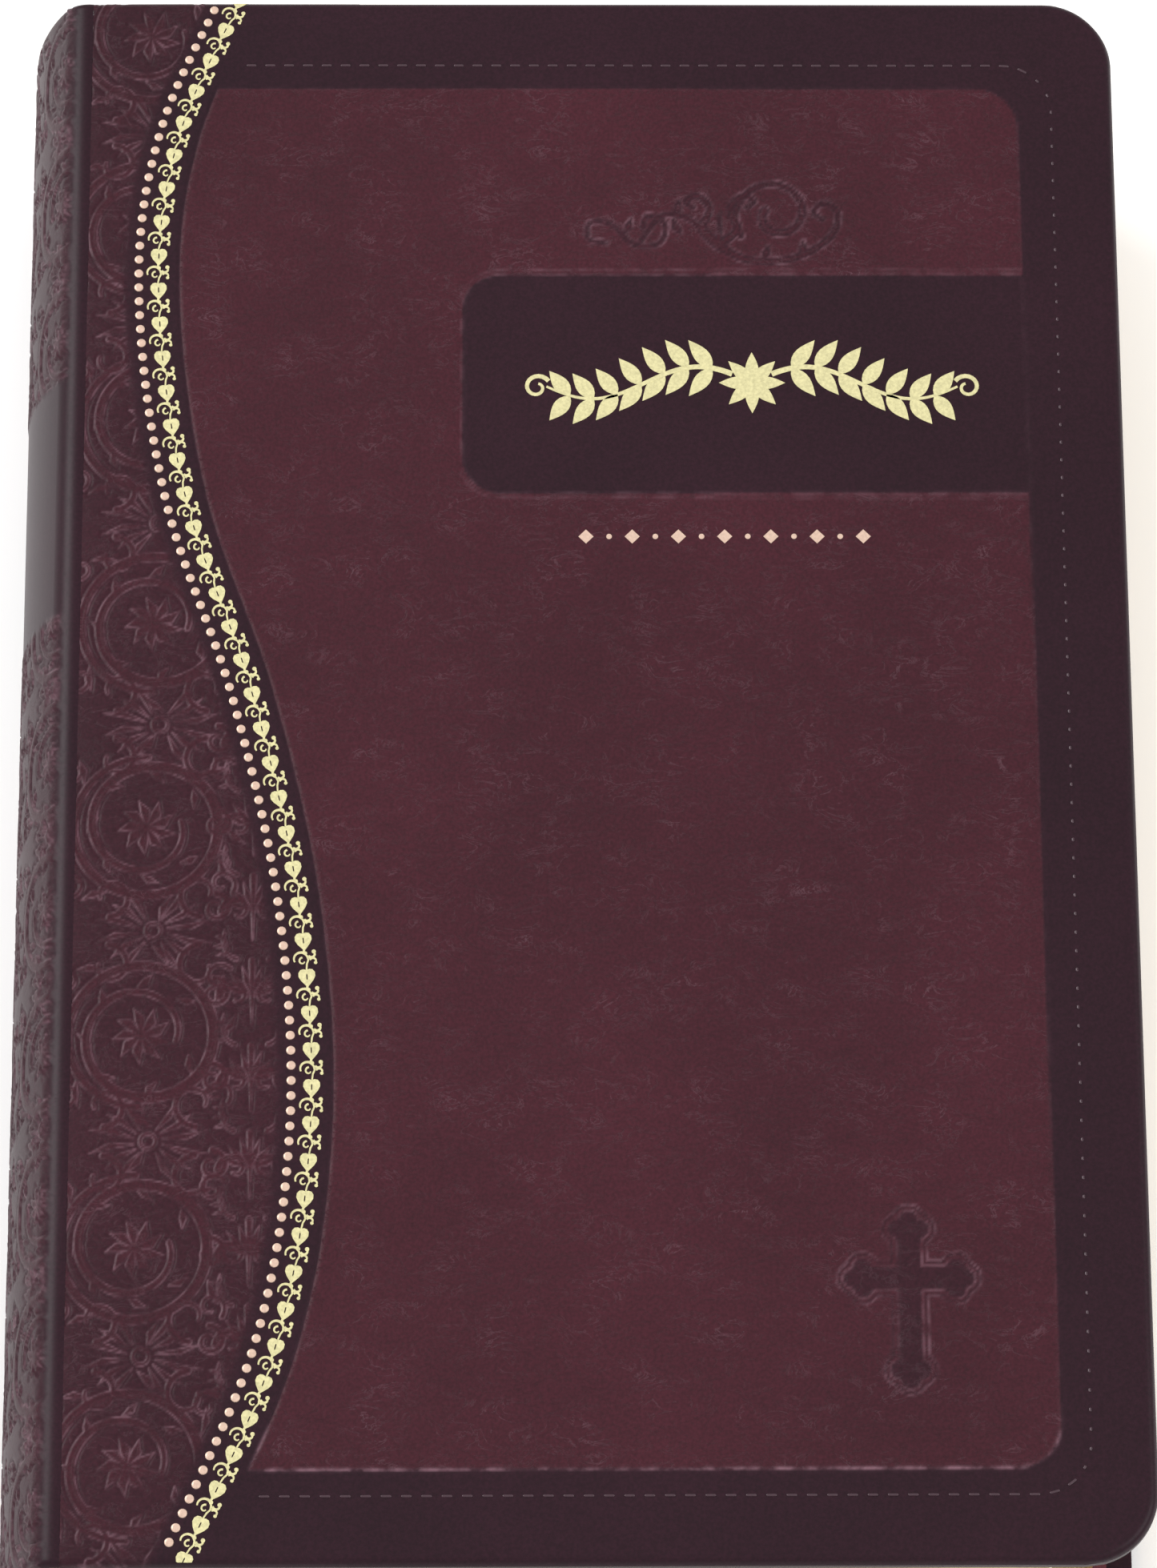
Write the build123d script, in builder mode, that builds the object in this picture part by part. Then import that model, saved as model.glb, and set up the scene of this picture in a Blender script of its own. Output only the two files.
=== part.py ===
from build123d import *
import math
import os

os.makedirs("parts", exist_ok=True)

# The book lies on its back cover. X runs from the spine to the fore-edge, Y from the tail to the head,
# +Z up. The origin is the middle of the overall box, at its base. All sizes are in millimetres.

# ---- overall sizes ----
book_width = 139.7
book_height = 206.4
book_thickness = 42.0

# ---- case: leather, board, infill and pastedown of each cover, and the rounded spine ----
leather = 0.8
board = 1.0
turn_in = 0.5
turn_in_width = 11.0
paper = 0.25
cover_corner = 9.0
pastedown_inset = 3.2
spine_round = 6.0
shoulder_radius = 2.4
joint_from_shoulder = 3.6
hinge_lift = 0.06

# ---- text block ----
overhang = 3.0
page_corner = 8.0
turning_sections = 5
middle_sections = 4
fold_radius = 0.9

# ---- spine linings and sewing ----
inlay = 0.5
inlay_edge = 5.0
liner = 0.3
liner_edge = 6.0
mull = 0.3
mull_edge = 4.5
thread_size = 0.3
thread_width = 1.1
thread_room = 0.4
sewing_stations = 6
station_pitch = 34.0
headband_rise = 1.6
headband_depth = 2.2
headband_edge = 5.0

# ---- foils on the front cover ----
foil = 0.03
leaf_pitch = 4.62
leaf_width = 2.1
leaf_length = 2.2
dot_diameter = 1.35
dot_pitch = 1.95
dots_from_leaves = 2.45
border_margin = 2.0
ornament_centre = Vector(22.0, 50.5)
ornament_leaves = 9
ornament_pitch = 6.0
ornament_leaf_length = 5.2
ornament_leaf_width = 2.5

# ---- clearances ----
lay_gap = 0.05
section_gap = 0.04

# ---- places worked out from the sizes above ----
left_edge = -book_width / 2
fore_edge = book_width / 2
mid_z = book_thickness / 2
spine_radius = (mid_z**2 + spine_round**2) / (2 * spine_round)
spine_centre_x = left_edge + spine_radius
hinge_x = left_edge + spine_round + joint_from_shoulder
cover_start = hinge_x + lay_gap
cover_length = fore_edge - cover_start
cover_depth = leather + board + turn_in + paper
block_low = cover_depth + 2 * lay_gap + paper
block_high = book_thickness - block_low
block_height = book_height - 2 * overhang
section_count = 2 * turning_sections + middle_sections
section_pitch = (block_high - block_low) / section_count
section_thickness = section_pitch - section_gap
inlay_radius = spine_radius - leather - lay_gap
liner_radius = inlay_radius - inlay - lay_gap
mull_radius = liner_radius - liner - lay_gap
thread_radius = mull_radius - mull - lay_gap
fold_arc_radius = thread_radius - thread_room
fore_shift = book_width - overhang - spine_round


def write(part, name):
    """Label a finished piece and write it to its own file."""
    part.label = name
    export_step(part, "parts/" + name + ".step")


def arc_x(radius, z):
    """Where the arc of this radius about the spine's centre line lies at height z."""
    return spine_centre_x - math.sqrt(radius**2 - (z - mid_z) ** 2)


def fore_x(z):
    """The concave fore-edge of the text block: the spine's curve, moved across by the page width."""
    return arc_x(spine_radius, z) + fore_shift


def spine_band(radius, thickness, edge, length, middle_y=0):
    """A curved band that follows the spine, from edge above the base to edge below the top."""
    with BuildPart() as band:
        with BuildSketch(Plane.XZ.offset(-middle_y - length / 2)):
            with BuildLine():
                low, high = edge, book_thickness - edge
                outer = ThreePointArc(
                    (arc_x(radius, low), low), (spine_centre_x - radius, mid_z), (arc_x(radius, high), high)
                )
                inside = radius - thickness
                inner = ThreePointArc(
                    (arc_x(inside, low), low), (spine_centre_x - inside, mid_z), (arc_x(inside, high), high)
                )
                Line(outer @ 0, inner @ 0)
                Line(outer @ 1, inner @ 1)
            make_face()
        extrude(amount=length)
    return band.part


def page_outline(width_end, height, corner):
    """Face of a page or cover from the joint to width_end, with both fore-edge corners rounded."""
    with BuildSketch() as page:
        with BuildLine():
            half = height / 2
            Polyline((width_end, corner - half), (width_end, half - corner))
            RadiusArc((width_end, half - corner), (width_end - corner, half), -corner)
            Polyline((width_end - corner, half), (left_edge, half), (left_edge, -half), (width_end - corner, -half))
            RadiusArc((width_end - corner, -half), (width_end, corner - half), -corner)
        make_face()
    return page.sketch


def leaf_stack(x_start, z_low, z_high, folded):
    """Leaves from x_start to the concave fore-edge. A folded stack has a rounded back."""
    z_middle = (z_low + z_high) / 2
    with BuildPart() as stack:
        with BuildSketch(Plane.XZ.offset(-block_height / 2)) as profile:
            with BuildLine():
                Polyline((fore_x(z_low), z_low), (x_start, z_low), (x_start, z_high), (fore_x(z_high), z_high))
                ThreePointArc(
                    (fore_x(z_low), z_low), (fore_x(z_middle), z_middle), (fore_x(z_high), z_high)
                )
            make_face()
            if folded:
                fillet(profile.vertices().group_by(Axis.X)[0], fold_radius)
        extrude(amount=block_height)
        with BuildSketch(Plane.XY.offset(z_low)):
            add(page_outline(max(fore_x(z_low), fore_x(z_high)), block_height, page_corner))
        extrude(amount=z_high - z_low, mode=Mode.INTERSECT)
    return stack.part


def cover_sheet(z_low, thickness, inset, x_start):
    """A flat sheet of a cover, inset from the head, tail and fore-edge."""
    with BuildPart() as sheet:
        with BuildSketch(Plane.XY.offset(z_low)):
            add(page_outline(fore_edge - inset, book_height - 2 * inset, cover_corner - inset))
            with Locations(((x_start + fore_edge) / 2, 0)):
                Rectangle(fore_edge - x_start, book_height, mode=Mode.INTERSECT)
        extrude(amount=thickness)
    return sheet.part


# ---- front cover, made at the top of the book; the back cover is its mirror image ----

# The leather lies over the board and turns in round its three free edges.
top = book_thickness
board_low = top - leather - board
turn_in_low = board_low - turn_in
with BuildPart() as front_leather:
    add(cover_sheet(turn_in_low, leather + board + turn_in, 0, cover_start))
    add(cover_sheet(board_low, board, leather, cover_start), mode=Mode.SUBTRACT)
    with BuildSketch(Plane.XY.offset(turn_in_low)):
        inner_length = fore_edge - turn_in_width - left_edge
        with Locations((left_edge + inner_length / 2, 0)):
            Rectangle(inner_length, book_height - 2 * turn_in_width)
    extrude(amount=turn_in, mode=Mode.SUBTRACT)

with BuildPart() as front_board:
    add(cover_sheet(board_low, board, leather + lay_gap, cover_start))

# The infill card levels the space between the turn-ins.
infill_end = fore_edge - turn_in_width - lay_gap
infill_height = book_height - 2 * turn_in_width - 2 * lay_gap
with BuildPart() as front_infill:
    with BuildSketch(Plane.XY.offset(turn_in_low)):
        with Locations(((cover_start + infill_end) / 2, 0)):
            Rectangle(infill_end - cover_start, infill_height)
    extrude(amount=turn_in)

with BuildPart() as front_pastedown:
    add(cover_sheet(turn_in_low - paper, paper, pastedown_inset, cover_start))

with BuildPart() as front_flyleaf:
    flyleaf_low = turn_in_low - paper - lay_gap - paper
    with BuildSketch(Plane.XY.offset(flyleaf_low)):
        add(page_outline(fore_x(flyleaf_low), block_height, page_corner))
        with Locations(((cover_start + fore_edge) / 2, 0)):
            Rectangle(cover_length, book_height, mode=Mode.INTERSECT)
    extrude(amount=paper)

cover_pieces = {
    "cover_leather": front_leather,
    "board": front_board,
    "infill": front_infill,
    "pastedown": front_pastedown,
    "flyleaf": front_flyleaf,
}
for piece_name, piece in cover_pieces.items():
    write(piece.part, "front_" + piece_name)
    with BuildPart() as back_piece:
        add(mirror(piece.part, about=Plane.XY.offset(mid_z)))
    write(back_piece.part, "back_" + piece_name)

# ---- spine leather: a curved shell with rounded shoulders, ending at the two joints ----
shoulder_x = left_edge + spine_round
inner_radius = spine_radius - leather
inner_x = arc_x(inner_radius, leather)
with BuildPart() as spine_leather:
    with BuildSketch(Plane.XZ.offset(-book_height / 2)) as spine_profile:
        with BuildLine():
            Polyline((shoulder_x, top), (hinge_x, top), (hinge_x, top - leather), (inner_x, top - leather))
            ThreePointArc((inner_x, top - leather), (left_edge + leather, mid_z), (inner_x, leather))
            Polyline((inner_x, leather), (hinge_x, leather), (hinge_x, 0), (shoulder_x, 0))
            ThreePointArc((shoulder_x, 0), (left_edge, mid_z), (shoulder_x, top))
        make_face()
        shoulders = spine_profile.vertices().filter_by(lambda corner: abs(corner.X - shoulder_x) < lay_gap)
        fillet(shoulders, shoulder_radius)
    extrude(amount=book_height)
write(spine_leather.part, "spine_leather")

# ---- linings of the spine, from the leather inwards ----
with BuildPart() as spine_inlay:
    add(spine_band(inlay_radius, inlay, inlay_edge, book_height - 2 * overhang))
write(spine_inlay.part, "spine_inlay")

with BuildPart() as spine_liner:
    add(spine_band(liner_radius, liner, liner_edge, block_height))
write(spine_liner.part, "spine_liner")

with BuildPart() as mull_lining:
    add(spine_band(mull_radius, mull, mull_edge, block_height))
write(mull_lining.part, "mull_lining")

# Each sewing station has a run of thread over the backs of the folds.
with BuildPart() as sewing_thread:
    for station in range(sewing_stations):
        station_y = (station - (sewing_stations - 1) / 2) * station_pitch
        add(spine_band(thread_radius, thread_size, mull_edge, thread_width, station_y))
write(sewing_thread.part, "sewing_thread")

# ---- headband and tailband: beads that stand on the ends of the block, behind the mull ----
headband_radius = mull_radius - mull - lay_gap
for band_name, side in (("headband", 1), ("tailband", -1)):
    with BuildPart() as bead:
        bead_y = side * (block_height / 2 + lay_gap + headband_rise / 2)
        add(spine_band(headband_radius, headband_depth, headband_edge, headband_rise, bead_y))
        long_edges = bead.edges().filter_by(GeomType.CIRCLE)
        fillet(long_edges.group_by(Axis.Y)[-1 if side > 0 else 0], headband_rise / 3)
    write(bead.part, band_name)

# ---- text block: turning leaves at the front and back, whole sections in the middle ----


def section_low(number):
    """Height of the underside of a section, counted from the back of the book."""
    return block_low + number * section_pitch + section_gap / 2


for number in range(turning_sections):
    low = section_low(number)
    back_name = "back_leaves_" + str(number + 1)
    write(leaf_stack(cover_start, low, low + section_thickness, False), back_name)
    low = section_low(section_count - 1 - number)
    front_name = "front_leaves_" + str(number + 1)
    write(leaf_stack(cover_start, low, low + section_thickness, False), front_name)


def fold_back(z):
    """Where the back of a section's fold lies, for a section whose middle is at height z."""
    return max(arc_x(fold_arc_radius, z - section_thickness / 2), arc_x(fold_arc_radius, z + section_thickness / 2))


for number in range(middle_sections):
    low = section_low(turning_sections + number)
    start = fold_back(low + section_thickness / 2)
    write(leaf_stack(start, low, low + section_thickness, True), "middle_section_" + str(number + 1))

# The folded, sewn backs of the turning sections stay with the spine.
with BuildPart() as section_folds:
    fold_end = hinge_x - lay_gap
    for number in range(section_count):
        if turning_sections <= number < turning_sections + middle_sections:
            continue
        low = section_low(number)
        start = fold_back(low + section_thickness / 2)
        with BuildSketch(Plane.XZ.offset(-block_height / 2)) as fold_profile:
            with Locations(((start + fold_end) / 2, low + section_thickness / 2)):
                Rectangle(fold_end - start, section_thickness)
            fillet(fold_profile.vertices().group_by(Axis.X)[0], fold_radius)
        extrude(amount=block_height)
write(section_folds.part, "section_folds")

# ---- foils pressed on the front cover ----

# The leaf border runs from the head to the tail in one long double bend.
border_end = book_height / 2 - border_margin
border_points = [
    (-42.4, border_end),
    (-49.9, 84.0),
    (-52.2, 62.6),
    (-48.5, 34.7),
    (-39.7, 7.8),
    (-33.6, -20.1),
    (-31.9, -48.7),
    (-35.9, -76.5),
    (-45.2, -border_end),
]
with BuildLine() as border_line:
    Spline(*border_points)
border = border_line.line.edge()
leaf_count = int(border.length / leaf_pitch)
dot_count = int(border.length / dot_pitch)


def leaf_face(length, width):
    """A pointed leaf along X, centred on the origin."""
    with BuildSketch() as leaf:
        with BuildLine():
            ThreePointArc((-length / 2, 0), (0, width / 2), (length / 2, 0))
            ThreePointArc((-length / 2, 0), (0, -width / 2), (length / 2, 0))
        make_face()
    return leaf.sketch


with BuildPart() as gold_leaf_border:
    with BuildSketch(Plane.XY.offset(top)):
        for number in range(leaf_count):
            share = (number + 0.5) / leaf_count
            place = border @ share
            heading = border % share
            turn = math.degrees(math.atan2(heading.Y, heading.X))
            with Locations(Location((place.X, place.Y, 0), (0, 0, turn))):
                add(leaf_face(leaf_length, leaf_width))
    extrude(amount=foil)
write(gold_leaf_border.part, "gold_leaf_border")

with BuildPart() as rose_gold_dots:
    with BuildSketch(Plane.XY.offset(top)):
        for number in range(dot_count):
            share = (number + 0.5) / dot_count
            place = border @ share
            heading = border % share
            aside = Vector(heading.Y, -heading.X) * dots_from_leaves
            with Locations((place.X + aside.X, place.Y + aside.Y)):
                Circle(dot_diameter / 2)
    extrude(amount=foil)
write(rose_gold_dots.part, "rose_gold_dots")

# A plain sprig of paired leaves fills the title panel.
with BuildPart() as title_ornament:
    with BuildSketch(Plane.XY.offset(top)):
        for number in range(ornament_leaves):
            place_x = ornament_centre.X + (number - (ornament_leaves - 1) / 2) * ornament_pitch
            lean = 35 if place_x > ornament_centre.X else 145
            for side in (1, -1):
                place_y = ornament_centre.Y + side * ornament_leaf_width
                with Locations(Location((place_x, place_y, 0), (0, 0, side * lean))):
                    add(leaf_face(ornament_leaf_length, ornament_leaf_width))
    extrude(amount=foil)
write(title_ornament.part, "title_ornament")

print("sections", section_count, "of", round(section_thickness, 3), "mm; hinge at x", round(hinge_x, 3))
print("hinge height above the top", hinge_lift, "leaves", leaf_count, "dots", dot_count)
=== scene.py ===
import math

import bmesh
import bpy
import numpy as np
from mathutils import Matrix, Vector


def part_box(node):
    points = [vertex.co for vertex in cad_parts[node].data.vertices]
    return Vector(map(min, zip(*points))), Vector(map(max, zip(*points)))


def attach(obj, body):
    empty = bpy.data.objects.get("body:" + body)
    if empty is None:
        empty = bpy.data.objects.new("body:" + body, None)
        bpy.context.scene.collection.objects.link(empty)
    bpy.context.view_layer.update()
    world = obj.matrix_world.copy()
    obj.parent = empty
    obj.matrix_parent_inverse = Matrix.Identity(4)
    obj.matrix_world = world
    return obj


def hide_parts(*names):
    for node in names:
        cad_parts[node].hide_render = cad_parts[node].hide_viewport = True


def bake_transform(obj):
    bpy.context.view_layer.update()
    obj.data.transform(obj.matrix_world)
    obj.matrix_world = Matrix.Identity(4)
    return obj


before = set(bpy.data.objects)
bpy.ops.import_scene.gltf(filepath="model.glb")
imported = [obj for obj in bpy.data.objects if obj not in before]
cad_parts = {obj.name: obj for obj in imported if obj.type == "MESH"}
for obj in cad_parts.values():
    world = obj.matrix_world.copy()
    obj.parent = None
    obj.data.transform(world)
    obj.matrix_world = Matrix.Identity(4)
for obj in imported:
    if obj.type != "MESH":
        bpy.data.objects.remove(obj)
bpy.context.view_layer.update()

# ---- text block: thin bible paper in sewn sections, gilt on its three cut edges ----
# The cut edges are sprayed and burnished with gold after rounding, so they shine as one sheet
# with hair-fine lines where the leaves meet. The faces of the leaves stay a warm paper white.
mm = 0.001
MIDDLE_SECTIONS = 4


def colour(hex_value):
    """An sRGB hex value such as #3a262e as linear RGBA."""
    parts = [int(hex_value[i : i + 2], 16) / 255 for i in (1, 3, 5)]
    return [p / 12.92 if p <= 0.04045 else ((p + 0.055) / 1.055) ** 2.4 for p in parts] + [1.0]


def new_material(name):
    """An empty node material: returns the material, its node tree and its main shader."""
    material = bpy.data.materials.new(name)
    material.use_nodes = True
    return material, material.node_tree, material.node_tree.nodes["Principled BSDF"]


def feed(tree, node, inputs):
    """Give a node's inputs their values, or link them to other nodes' outputs."""
    for key, value in inputs.items():
        if isinstance(value, bpy.types.NodeSocket):
            tree.links.new(value, node.inputs[key])
        else:
            node.inputs[key].default_value = value


def add_node(tree, kind, properties, inputs):
    """A new node with its properties set and its inputs fed."""
    node = tree.nodes.new(kind)
    for key, value in properties.items():
        setattr(node, key, value)
    feed(tree, node, inputs)
    return node


def object_place(tree):
    """Each point's place in the piece's own frame."""
    return add_node(tree, "ShaderNodeTexCoord", {}, {}).outputs["Object"]


def noise(tree, point, size_mm, detail):
    """The value of a noise pattern with features of about size_mm."""
    inputs = {0: point, "Scale": 1 / (size_mm * mm), "Detail": detail}
    return add_node(tree, "ShaderNodeTexNoise", {}, inputs).outputs[0]


def ramp(tree, source, low, low_colour, high, high_colour):
    """A colour that runs from one tone to another as its source runs from low to high."""
    node = add_node(tree, "ShaderNodeValToRGB", {}, {0: source})
    for n, (level, tone) in enumerate(((low, low_colour), (high, high_colour))):
        node.color_ramp.elements[n].position = level
        node.color_ramp.elements[n].color = tone
    return node.outputs[0]


def calculate(tree, operation, *values):
    """The result of a math node on numbers and other nodes' outputs."""
    return add_node(tree, "ShaderNodeMath", {"operation": operation}, dict(enumerate(values))).outputs[0]


def mix_colours(tree, share, first, second, kind="MIX"):
    """The first colour mixed with the second, or multiplied by it, to a share."""
    properties = {"data_type": "RGBA", "blend_type": kind}
    return add_node(tree, "ShaderNodeMix", properties, {0: share, 6: first, 7: second}).outputs[2]


def bump(tree, height, strength, depth_mm):
    """The normal of a finely uneven surface."""
    inputs = {"Height": height, "Strength": strength, "Distance": depth_mm * mm}
    return add_node(tree, "ShaderNodeBump", {}, inputs).outputs[0]


def paper_tones(tree, point):
    """The colour of bible paper: warm white with a faint fibre."""
    return ramp(tree, noise(tree, point, 1.5, 4.0), 0.0, colour("#e9e1cd"), 1.0, colour("#f6f1e4"))


def gilt_lines(tree, point):
    """The colour and normal of burnished gold, with hair-fine lines along the leaves."""
    leaf_line = 0.24 * mm
    drawn_out = {0: point, "Scale": (0.02 / leaf_line, 0.02 / leaf_line, 1 / leaf_line)}
    stretch = add_node(tree, "ShaderNodeMapping", {}, drawn_out).outputs[0]
    lines = add_node(tree, "ShaderNodeTexNoise", {}, {0: stretch, "Scale": 1.0, "Detail": 3.0}).outputs[0]
    gold = ramp(tree, lines, 0.35, colour("#a98545"), 0.62, colour("#d6ba78"))
    return gold, bump(tree, lines, 0.35, 0.08)


def make_gilt_paper():
    """Bible paper: matt and warm on its faces, gilded and finely lined where it is cut."""
    material, tree, shader = new_material("gilt_edged_bible_paper")
    point = object_place(tree)
    normal = add_node(tree, "ShaderNodeNewGeometry", {}, {}).outputs["Normal"]
    facing = add_node(tree, "ShaderNodeSeparateXYZ", {}, {0: normal}).outputs[2]
    steep = 0.6
    cut = calculate(tree, "LESS_THAN", calculate(tree, "ABSOLUTE", facing), steep)
    gold, relief = gilt_lines(tree, point)
    feed(tree, shader, {
        "Base Color": mix_colours(tree, cut, paper_tones(tree, point), gold),
        "Metallic": calculate(tree, "MULTIPLY", cut, 0.75),
        "Roughness": calculate(tree, "MULTIPLY_ADD", cut, -0.5, 0.85),
        "Normal": relief,
    })
    return material


def finish_cad_node(node, material):
    """Give a carried-over node its finished material."""
    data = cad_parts[node].data
    data.materials.clear()
    data.materials.append(material)


gilt_paper = make_gilt_paper()
for node in ["section_folds"] + ["middle_section_%d" % (n + 1) for n in range(MIDDLE_SECTIONS)]:
    finish_cad_node(node, gilt_paper)

# ---- spine linings, thread, boards and endpapers ----
# Mull is an open cotton weave, the liner a brown kraft paper, the inlay and boards grey pulp card.
# The endpapers are wine-red paper pasted down with a matt, faintly fibrous face.


def make_fibre(name, dark, light, grain_mm, roughness, weave_mm=0.0):
    """Paper, card or cloth: two tones in a fibre pattern, with a weave where there is one."""
    material, tree, shader = new_material(name)
    point = object_place(tree)
    fibre = noise(tree, point, grain_mm, 5.0)
    height = fibre
    if weave_mm:
        weave = {0: point, "Scale": 1 / (weave_mm * mm * 3.2), "Distortion": 0.4}
        height = add_node(tree, "ShaderNodeTexWave", {"bands_direction": "Y"}, weave).outputs[1]
    feed(tree, shader, {
        "Base Color": ramp(tree, fibre, 0.3, colour(dark), 0.7, colour(light)),
        "Normal": bump(tree, height, 0.4, 0.1),
        "Roughness": roughness,
    })
    return material


endpaper = make_fibre("wine_red_endpaper", "#4a1a25", "#5d2431", 0.5, 0.8)
pulp_card = make_fibre("grey_pulp_card", "#6d645a", "#8c8275", 0.8, 0.9)
kraft_paper = make_fibre("kraft_liner_paper", "#8b6a45", "#a98558", 0.9, 0.85)
mull_cloth = make_fibre("cotton_mull", "#cfc9b8", "#e6e1d2", 0.7, 0.95, 0.8)
waxed_thread = make_fibre("waxed_linen_thread", "#d8d0b8", "#efe9d6", 0.3, 0.6, 0.4)
silk_bead = make_fibre("headband_silk", "#5d1c2a", "#d9c9a0", 1.4, 0.5, 0.9)
for side in ("front", "back"):
    finish_cad_node(side + "_pastedown", endpaper)
    finish_cad_node(side + "_board", pulp_card)
    finish_cad_node(side + "_infill", pulp_card)
finish_cad_node("spine_inlay", pulp_card)
finish_cad_node("spine_liner", kraft_paper)
finish_cad_node("mull_lining", mull_cloth)
finish_cad_node("sewing_thread", waxed_thread)
finish_cad_node("headband", silk_bead)
finish_cad_node("tailband", silk_bead)

# ---- turning leaves: the outer sections and the flyleaves, which bend up out of their folds ----
# Each packet is one section's leaves, built with its points crowded towards its fold. Its faces are
# plain paper and its three cut edges gilt.
PAGE_CORNER = 8.0
BEND = {"flyleaf": 8.0, "leaves_1": 14.0, "leaves_2": 17.0, "leaves_3": 20.0, "leaves_4": 22.0}
BEND["leaves_5"] = 24.0
FORE_RADIUS = 39.75
PACKET_COLUMNS = 44
PACKET_ROWS = 28
CROWDING = 1.6
page_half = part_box("middle_section_1")[1][1] / mm
block_middle = (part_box("section_folds")[0][2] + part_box("section_folds")[1][2]) / 2 / mm


def make_leaf_face():
    """The face of a bible-paper leaf: warm white and matt."""
    material, tree, shader = new_material("bible_paper_face")
    feed(tree, shader, {"Base Color": paper_tones(tree, object_place(tree)), "Roughness": 0.85})
    return material


def make_gilt_edge():
    """Burnished gold over cut leaves."""
    material, tree, shader = new_material("gilt_cut_edge")
    gold, relief = gilt_lines(tree, object_place(tree))
    feed(tree, shader, {"Base Color": gold, "Normal": relief, "Metallic": 0.75, "Roughness": 0.35})
    return material


def new_grid(name, columns, rows):
    """A square grid of faces from -1 to 1 each way."""
    bpy.ops.object.select_all(action="DESELECT")
    bpy.ops.mesh.primitive_grid_add(x_subdivisions=columns, y_subdivisions=rows, size=2)
    grid = bpy.context.object
    grid.name = grid.data.name = name
    return grid


def read_points(piece):
    """A mesh's points as rows of X, Y and Z."""
    flat = np.empty(len(piece.data.vertices) * 3)
    piece.data.vertices.foreach_get("co", flat)
    return flat.reshape(-1, 3)


def place_points(piece, x, y, z):
    """Move a mesh's points to new places, in metres."""
    piece.data.vertices.foreach_set("co", np.column_stack([x, y, z]).ravel())
    piece.data.update()


def leaf_packet(node, face, edge):
    """A packet of leaves in the place of a CAD node, fine enough near its fold to bend smoothly."""
    low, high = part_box(node)
    packet = new_grid(node + "_packet", PACKET_COLUMNS, PACKET_ROWS)
    bpy.ops.object.mode_set(mode="EDIT")
    bpy.ops.mesh.select_all(action="SELECT")
    bpy.ops.mesh.extrude_region_move(TRANSFORM_OT_translate={"value": (0, 0, 1)})
    bpy.ops.mesh.select_all(action="SELECT")
    bpy.ops.mesh.normals_make_consistent(inside=False)
    bpy.ops.object.mode_set(mode="OBJECT")
    across, along, level = read_points(packet).T
    z = low[2] / mm + level * (high[2] - low[2]) / mm
    turn = np.clip((np.abs(along) - 0.5) / 0.5, 0, 1) * math.pi / 2
    straight = np.clip(np.abs(along) / 0.5, 0, 1) * (page_half - PAGE_CORNER)
    y = np.sign(along) * (straight + PAGE_CORNER * np.sin(turn))
    bulge = FORE_RADIUS - np.sqrt(FORE_RADIUS**2 - (z - block_middle) ** 2)
    x_end = high[0] / mm - bulge.max() + bulge - PAGE_CORNER * (1 - np.cos(turn))
    x_start = low[0] / mm
    x = x_start + ((across + 1) / 2) ** CROWDING * (x_end - x_start)
    place_points(packet, x * mm, y * mm, z * mm)
    packet.data.materials.append(face)
    packet.data.materials.append(edge)
    for polygon in packet.data.polygons:
        polygon.material_index = 0 if abs(polygon.normal.z) > 0.7 else 1
    bpy.ops.object.shade_smooth_by_angle(angle=math.radians(35))
    return packet


leaf_face = make_leaf_face()
gilt_edge = make_gilt_edge()
for side in ("front", "back"):
    for name, reach in BEND.items():
        node = side + "_" + name
        if name == "flyleaf":
            packet = leaf_packet(node, endpaper, endpaper)
        else:
            packet = leaf_packet(node, leaf_face, gilt_edge)
        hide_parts(node)
        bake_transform(packet)

# ---- front cover leather: two-tone imitation leather, heat-pressed with its whole design ----
# Polyurethane leather over card. A hot plate presses the scrolls, panels, cross and flourish, and
# darkens what it presses: smooth plum where it bears, grained burgundy where it doesn't.
PLUM = "#240f19"
BURGUNDY = "#39151f"
# Pale pink-grey mixed into the leather as painted highlight on the grain creases and the pressed edges.
HIGHLIGHT_TONE = "#83606c"
cover_low, cover_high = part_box("front_cover_leather")
top = cover_high[2]
half_height = cover_high[1] / mm
fore_x = cover_high[0] / mm
spine_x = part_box("spine_leather")[0][0] / mm
SPINE_ROUND = 6.0
SHOULDER = 2.6
CORNER = 9.0
CELL = 0.14
FAR_AWAY = 9.0
ground_depth = 0.16
border_points = [
    (-41.5, 105.4),
    (-49.9, 84.0),
    (-52.2, 62.6),
    (-48.5, 34.7),
    (-39.7, 7.8),
    (-33.6, -20.1),
    (-31.9, -48.7),
    (-35.9, -76.5),
    (-47.3, -104.6),
]


def smooth_path(points, per_span=60):
    """A smooth curve through a few points, as evenly dense points."""
    p = np.array(points, float)
    p = np.vstack([2 * p[0] - p[1], p, 2 * p[-1] - p[-2]])
    t = np.linspace(0, 1, per_span, endpoint=False)[:, None]
    spans = []
    for a, b, c, d in zip(p, p[1:], p[2:], p[3:]):
        squared = 2 * a - 5 * b + 4 * c - d
        cubed = 3 * b - a - 3 * c + d
        spans.append(0.5 * (2 * b + (c - a) * t + squared * t**2 + cubed * t**3))
    return np.vstack(spans + [p[-2:-1]])


border_path = smooth_path(border_points)


def border_at(y):
    """Where the leaf border's centre line lies at height y on the cover."""
    return np.interp(y, border_path[::-1, 1], border_path[::-1, 0])


def smooth_step(low, high, value):
    """Nought below low, one above high, and a smooth rise between."""
    t = np.clip((value - low) / (high - low), 0, 1)
    return t * t * (3 - 2 * t)


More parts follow.
